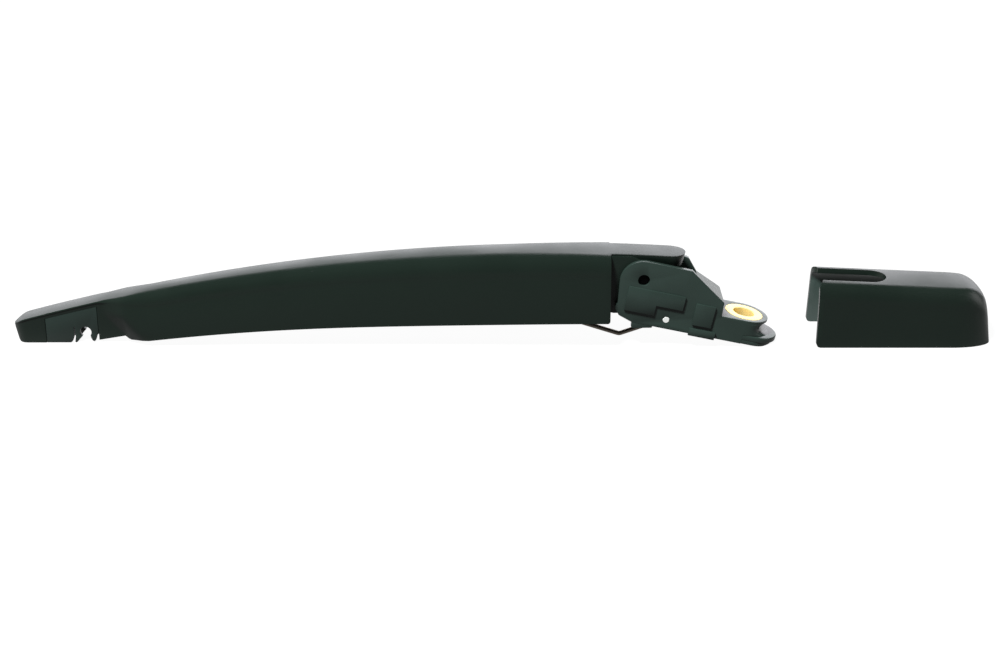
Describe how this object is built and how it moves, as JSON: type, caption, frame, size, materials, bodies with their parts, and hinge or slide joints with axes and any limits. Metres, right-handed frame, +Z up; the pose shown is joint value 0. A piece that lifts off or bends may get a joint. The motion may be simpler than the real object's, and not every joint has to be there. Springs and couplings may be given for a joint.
{
  "type": "rear wiper arm",
  "caption": "Curved black rear wiper arm with a tilted die-cast hinge head, brass taper bush, pull spring and a separate push-on end cap.",
  "frame": {"origin": "middle of the whole set on the surface it stands on: the arm stands on its tip and on the end of its head, and the cap on its rim", "axes": "+X along the arm from the blade end towards the spindle and the cap, +Y across the arm, away from the side that the picture shows, +Z up"},
  "size_m": [0.4054, 0.0342, 0.0404],
  "materials": {
    "arm_plastic": "black, fine grain, satin",
    "clip_plastic": "black, smooth moulded",
    "head_paint": "thin black dip coat on a die casting",
    "brass": "turned, bright",
    "dark_steel": "blackened",
    "bright_steel": "bright turned ends",
    "spring_steel": "phosphated spring wire",
    "wire_steel": "dark bent wire"
  },
  "bodies": {
    "head": {"head": "head_paint", "taper_bush": "brass", "hinge_pin": "dark_steel", "hook_pin": "bright_steel", "end_cap": "arm_plastic"},
    "arm": {"arm_shell": "arm_plastic", "blade_clip": "clip_plastic", "spring_anchor_pin": "bright_steel"},
    "spring": {"tension_spring": "spring_steel"},
    "hook": {"spring_hook": "wire_steel"}
  },
  "joints": [
    {"name": "arm_hinge", "type": "hinge", "parent": "head", "child": "arm", "pos_m": [0.05778, -0.0029, 0.02974], "axis": [0, 1, 0], "range_deg": [0, 55], "stiffness_Nm_per_rad": 0.8, "springref_deg": -85.94},
    {"name": "spring_swing", "type": "hinge", "parent": "arm", "child": "spring", "pos_m": [-0.07222, -0.0029, 0.02133], "axis": [0, 1, 0], "range_deg": [-6.5, 0]},
    {"name": "hook_pull", "type": "slide", "parent": "spring", "child": "hook", "axis": [0.9979, 0, -0.0641], "range_m": [0, 0.0118], "deforming": ["tension_spring"]}
  ],
  "couplings": [
    {"joint": "spring_swing", "follows": "arm_hinge", "ratio": -0.1125},
    {"joint": "hook_pull", "follows": "arm_hinge", "m_per_rad": 0.0118}
  ]
}
